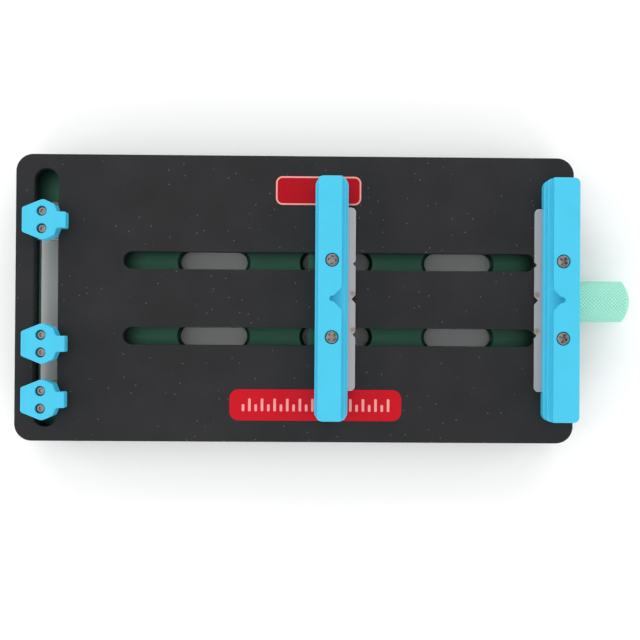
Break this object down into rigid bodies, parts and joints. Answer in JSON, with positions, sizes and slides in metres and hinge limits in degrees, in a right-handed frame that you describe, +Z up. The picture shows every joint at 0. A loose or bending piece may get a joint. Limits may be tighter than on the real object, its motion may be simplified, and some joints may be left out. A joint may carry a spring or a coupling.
{
  "type": "circuit board vise",
  "caption": "Flat bench vise for circuit boards: slotted base plate, fixed jaw, knob-driven double-sided jaw and board clips sliding in a cross slot.",
  "frame": {"origin": "on the bench under the middle of the whole vise's footprint, knob included", "axes": "+X along the lead screw towards the knob, +Y along the jaws towards the back, +Z up"},
  "size_m": [0.2166, 0.1, 0.0285],
  "materials": {
    "black_plate": "black anodised, fine matt",
    "green_body": "green anodised, satin",
    "blue_jaw": "sky blue lacquer, matt",
    "mint_knob": "mint green anodised, knurled",
    "ground_steel": "ground stainless steel",
    "screw_steel": "nickel-plated steel",
    "brass": "turned brass",
    "rubber_foot": "moulded black rubber",
    "red_label": "red printed film",
    "nylon_washer": "natural nylon"
  },
  "bodies": {
    "root": {"base_body": "green_body", "fixed_jaw": "blue_jaw", "fixed_jaw_insert": "ground_steel", "fixed_jaw_screw_back": "screw_steel", "fixed_jaw_screw_front": "screw_steel", "foot_back_left": "rubber_foot", "foot_back_right": "rubber_foot", "foot_front_left": "rubber_foot", "foot_front_right": "rubber_foot", "guide_rod_back": "ground_steel", "guide_rod_front": "ground_steel", "plate_label_back": "red_label", "plate_label_front": "red_label", "plate_screw_back_centre": "screw_steel", "plate_screw_back_left": "screw_steel", "plate_screw_back_right": "screw_steel", "plate_screw_front_centre": "screw_steel", "plate_screw_front_left": "screw_steel", "plate_screw_front_right": "screw_steel", "screw_bearing_left": "ground_steel", "screw_bearing_right": "ground_steel", "top_plate": "black_plate"},
    "jaw_carriage": {"moving_jaw": "blue_jaw", "moving_jaw_insert": "ground_steel", "moving_jaw_screw_back": "screw_steel", "moving_jaw_screw_front": "screw_steel", "carriage": "green_body", "lead_nut": "brass", "guide_bush_back": "brass", "guide_bush_front": "brass"},
    "knob_and_screw": {"lead_screw": "screw_steel", "thrust_collar": "screw_steel", "thrust_washer": "nylon_washer", "knob": "mint_knob", "knob_grub_screw": "screw_steel"},
    "clip_back": {"board_clip_back": "blue_jaw", "clip_nut_back": "ground_steel", "clip_screw_back_1": "screw_steel", "clip_screw_back_2": "screw_steel"},
    "clip_middle": {"board_clip_middle": "blue_jaw", "clip_nut_middle": "ground_steel", "clip_screw_middle_1": "screw_steel", "clip_screw_middle_2": "screw_steel"},
    "clip_front": {"board_clip_front": "blue_jaw", "clip_nut_front": "ground_steel", "clip_screw_front_1": "screw_steel", "clip_screw_front_2": "screw_steel"}
  },
  "joints": [
    {"name": "jaw_slide", "type": "slide", "parent": "root", "child": "jaw_carriage", "axis": [1, 0, 0], "range_m": [-0.067, 0.0615]},
    {"name": "knob_spin", "type": "hinge", "parent": "root", "child": "knob_and_screw", "pos_m": [0.0962, 0, 0.0099], "axis": [1, 0, 0], "range_deg": [-11070, 12060]},
    {"name": "clip_back_slide", "type": "slide", "parent": "root", "child": "clip_back", "axis": [0, 1, 0], "range_m": [-0.0136, 0.011]},
    {"name": "clip_middle_slide", "type": "slide", "parent": "root", "child": "clip_middle", "axis": [0, 1, 0], "range_m": [-0.002, 0.0136]},
    {"name": "clip_front_slide", "type": "slide", "parent": "root", "child": "clip_front", "axis": [0, 1, 0], "range_m": [-0.002, 0.002]}
  ],
  "couplings": [
    {"joint": "knob_spin", "follows": "jaw_slide", "rad_per_m": -3141.6}
  ]
}
